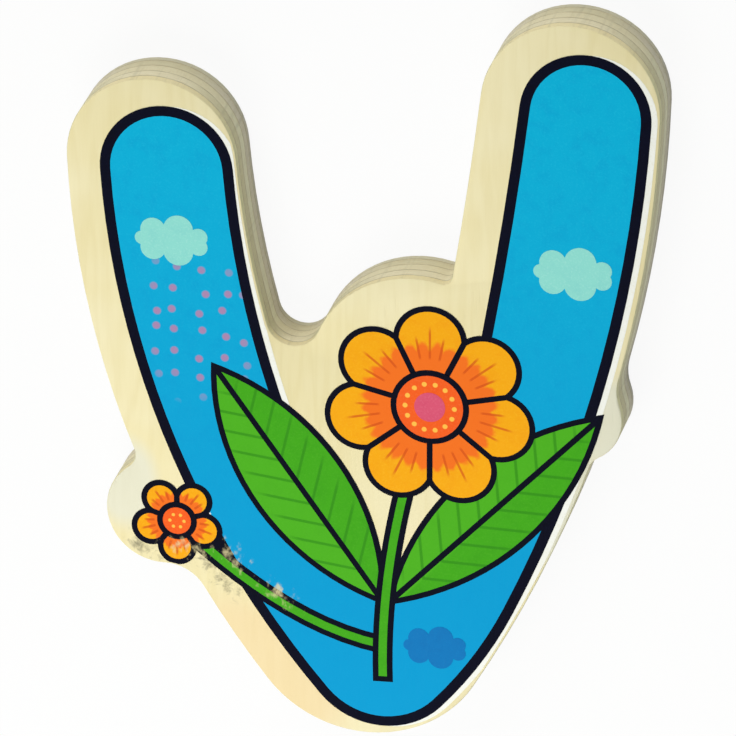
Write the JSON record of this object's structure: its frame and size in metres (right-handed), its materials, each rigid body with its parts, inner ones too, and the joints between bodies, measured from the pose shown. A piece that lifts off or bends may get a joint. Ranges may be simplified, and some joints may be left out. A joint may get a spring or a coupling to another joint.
{
  "type": "wooden letter",
  "caption": "Flat wooden nursery letter V sawn from plywood, its rounded arms printed with blue sky, blossoms and leaves, with a plain back to stick on a door or wall.",
  "frame": {"origin": "middle of the board's outline, on the plane of its back", "axes": "the letter lies on its back: +X to the letter's right, +Y to the tips of its arms, +Z out of the printed face"},
  "size_m": [0.0494, 0.0648, 0.0051],
  "materials": {
    "face_veneer": "sanded pale veneer under clear satin lacquer",
    "crossband_veneer": "sawn end grain, lightly sanded",
    "core_veneer": "sawn long grain, lightly sanded",
    "glue": "dull brown glue line",
    "white_ink": "satin white undercoat",
    "sky_ink": "satin printed ink",
    "navy_ink": "satin printed ink",
    "pale_cloud_ink": "satin printed ink",
    "deep_cloud_ink": "satin printed ink",
    "green_ink": "satin printed ink",
    "gold_ink": "satin printed ink",
    "orange_ink": "satin printed ink",
    "pink_ink": "satin printed ink"
  },
  "bodies": {
    "root": {"back_ply": "face_veneer", "back_glue_line": "glue", "back_crossband": "crossband_veneer", "back_core_glue_line": "glue", "core_ply": "core_veneer", "face_core_glue_line": "glue", "face_crossband": "crossband_veneer", "face_glue_line": "glue", "face_ply": "face_veneer", "white_ground": "white_ink", "sky_left_arm": "sky_ink", "sky_foot": "sky_ink", "sky_right_arm": "sky_ink", "outline_left_arm": "navy_ink", "outline_foot": "navy_ink", "outline_right_arm": "navy_ink", "left_cloud": "pale_cloud_ink", "right_cloud": "pale_cloud_ink", "foot_cloud": "deep_cloud_ink", "side_stem_line": "navy_ink", "side_stem_green": "green_ink", "right_leaf_line": "navy_ink", "right_leaf_green_1": "green_ink", "right_leaf_green_2": "green_ink", "left_leaf_line": "navy_ink", "left_leaf_green_1": "green_ink", "left_leaf_green_2": "green_ink", "main_stem_line": "navy_ink", "main_stem_green": "green_ink", "small_blossom_line": "navy_ink", "small_blossom_petal_1": "gold_ink", "small_blossom_petal_2": "gold_ink", "small_blossom_petal_3": "gold_ink", "small_blossom_petal_4": "gold_ink", "small_blossom_petal_5": "gold_ink", "small_blossom_eye_line": "navy_ink", "small_blossom_eye": "orange_ink", "large_blossom_line": "navy_ink", "large_blossom_petal_1": "gold_ink", "large_blossom_petal_2": "gold_ink", "large_blossom_petal_3": "gold_ink", "large_blossom_petal_4": "gold_ink", "large_blossom_petal_5": "gold_ink", "large_blossom_petal_6": "gold_ink", "large_blossom_petal_7": "gold_ink", "large_blossom_eye_line": "navy_ink", "large_blossom_eye": "orange_ink", "large_blossom_pip": "pink_ink"}
  },
  "joints": []
}
